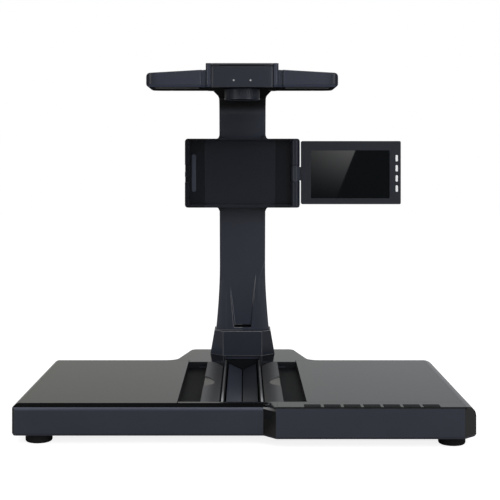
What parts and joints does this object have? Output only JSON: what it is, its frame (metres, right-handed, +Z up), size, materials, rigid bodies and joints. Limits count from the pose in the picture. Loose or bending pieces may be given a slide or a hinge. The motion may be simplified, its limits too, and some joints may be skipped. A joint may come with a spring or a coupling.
{
  "type": "portable document scanner",
  "caption": "Overhead book and document scanner with page boards, spine trough, camera arm, lamp wings and a swing-out display.",
  "frame": {"origin": "on the table, below the middle of the overall box", "axes": "+Z up, +Y away from the user towards the column, +X to the user's right"},
  "size_m": [0.568, 0.438, 0.4754],
  "materials": {
    "shell_plastic": "blue-grey black satin plastic",
    "board_gloss": "black gloss plastic",
    "matte_black": "matte black plastic",
    "key_dark": "dark satin plastic",
    "key_white": "white satin plastic",
    "circuit_board": "green solder mask",
    "foot_rubber": "matte black rubber",
    "steel": "plain zinc-plated steel",
    "glass_dark": "dark gloss glass",
    "lamp_white": "milky acrylic"
  },
  "bodies": {
    "stand": {"base_top_cover": "shell_plastic", "base_bottom_cover": "shell_plastic", "left_page_board": "board_gloss", "right_page_board": "board_gloss", "left_slide_bed": "matte_black", "right_slide_bed": "matte_black", "trough_well": "matte_black", "trough_floor": "shell_plastic", "control_strip": "board_gloss", "key_board": "circuit_board", "rubber_feet": "foot_rubber", "base_screws": "steel", "ballast_plate": "steel", "main_board": "circuit_board", "usb_sockets": "steel", "power_jack": "matte_black", "column_collar": "shell_plastic", "column_front_shell": "shell_plastic", "column_rear_shell": "shell_plastic", "steel_mast": "steel", "mast_bolts": "steel", "wiring_loom": "matte_black", "box_rear_shell": "shell_plastic", "box_front_cover": "shell_plastic", "rest_pad": "matte_black", "hinge_pin": "steel", "head_upper_cover": "shell_plastic", "head_lower_cover": "matte_black", "head_front_panel": "shell_plastic", "head_indicators": "lamp_white", "lamp_boards": "circuit_board", "lamp_diffusers": "lamp_white", "camera_board": "circuit_board", "lens_barrel": "matte_black", "lens_glass": "glass_dark", "head_bracket": "steel", "head_screws": "steel"},
    "left_slide": {"left_spine_slide": "board_gloss"},
    "right_slide": {"right_spine_slide": "board_gloss"},
    "swing_hinge": {"hinge_knuckle": "shell_plastic", "tilt_shaft": "steel"},
    "display": {"display_bezel": "shell_plastic", "display_back_cover": "shell_plastic", "display_glass": "glass_dark", "lcd_panel": "matte_black", "display_board": "circuit_board"},
    "focus": {"focus_ring": "shell_plastic"},
    "key_1_cap": {"key_1": "key_dark"},
    "key_2_cap": {"key_2": "key_dark"},
    "key_3_cap": {"key_3": "key_dark"},
    "key_4_cap": {"key_4": "key_dark"},
    "key_5_cap": {"key_5": "key_dark"},
    "key_6_cap": {"key_6": "key_dark"},
    "key_7_cap": {"key_7": "key_dark"},
    "display_key_1_cap": {"display_key_1": "key_white"},
    "display_key_2_cap": {"display_key_2": "key_white"},
    "display_key_3_cap": {"display_key_3": "key_white"},
    "display_key_4_cap": {"display_key_4": "key_white"}
  },
  "joints": [
    {"name": "left_slide_out", "type": "slide", "parent": "stand", "child": "left_slide", "axis": [-1, 0, 0], "range_m": [0, 0.024]},
    {"name": "right_slide_out", "type": "slide", "parent": "stand", "child": "right_slide", "axis": [1, 0, 0], "range_m": [0, 0.024]},
    {"name": "display_swing", "type": "hinge", "parent": "stand", "child": "swing_hinge", "pos_m": [0.078, 0.1395, 0.33075], "axis": [0, 0, 1], "range_deg": [-180, 0]},
    {"name": "display_tilt", "type": "hinge", "parent": "swing_hinge", "child": "display", "pos_m": [0.0868, 0.1395, 0.33075], "axis": [-1, 0, 0], "range_deg": [0, 90]},
    {"name": "focus_turn", "type": "hinge", "parent": "stand", "child": "focus", "pos_m": [-0.002, -0.065, 0.4367], "axis": [0, 0, 1], "range_deg": [-60, 60]},
    {"name": "key_1_press", "type": "slide", "parent": "stand", "child": "key_1_cap", "axis": [0, 0, -1], "range_m": [0, 0.0012], "stiffness_N_per_m": 500, "springref_m": -0.0006},
    {"name": "key_2_press", "type": "slide", "parent": "stand", "child": "key_2_cap", "axis": [0, 0, -1], "range_m": [0, 0.0012], "stiffness_N_per_m": 500, "springref_m": -0.0006},
    {"name": "key_3_press", "type": "slide", "parent": "stand", "child": "key_3_cap", "axis": [0, 0, -1], "range_m": [0, 0.0012], "stiffness_N_per_m": 500, "springref_m": -0.0006},
    {"name": "key_4_press", "type": "slide", "parent": "stand", "child": "key_4_cap", "axis": [0, 0, -1], "range_m": [0, 0.0012], "stiffness_N_per_m": 500, "springref_m": -0.0006},
    {"name": "key_5_press", "type": "slide", "parent": "stand", "child": "key_5_cap", "axis": [0, 0, -1], "range_m": [0, 0.0012], "stiffness_N_per_m": 500, "springref_m": -0.0006},
    {"name": "key_6_press", "type": "slide", "parent": "stand", "child": "key_6_cap", "axis": [0, 0, -1], "range_m": [0, 0.0012], "stiffness_N_per_m": 500, "springref_m": -0.0006},
    {"name": "key_7_press", "type": "slide", "parent": "stand", "child": "key_7_cap", "axis": [0, 0, -1], "range_m": [0, 0.0012], "stiffness_N_per_m": 500, "springref_m": -0.0006},
    {"name": "display_key_1_press", "type": "slide", "parent": "display", "child": "display_key_1_cap", "axis": [0, 1, 0], "range_m": [0, 0.0005], "stiffness_N_per_m": 600, "springref_m": -0.0005},
    {"name": "display_key_2_press", "type": "slide", "parent": "display", "child": "display_key_2_cap", "axis": [0, 1, 0], "range_m": [0, 0.0005], "stiffness_N_per_m": 600, "springref_m": -0.0005},
    {"name": "display_key_3_press", "type": "slide", "parent": "display", "child": "display_key_3_cap", "axis": [0, 1, 0], "range_m": [0, 0.0005], "stiffness_N_per_m": 600, "springref_m": -0.0005},
    {"name": "display_key_4_press", "type": "slide", "parent": "display", "child": "display_key_4_cap", "axis": [0, 1, 0], "range_m": [0, 0.0005], "stiffness_N_per_m": 600, "springref_m": -0.0005}
  ]
}
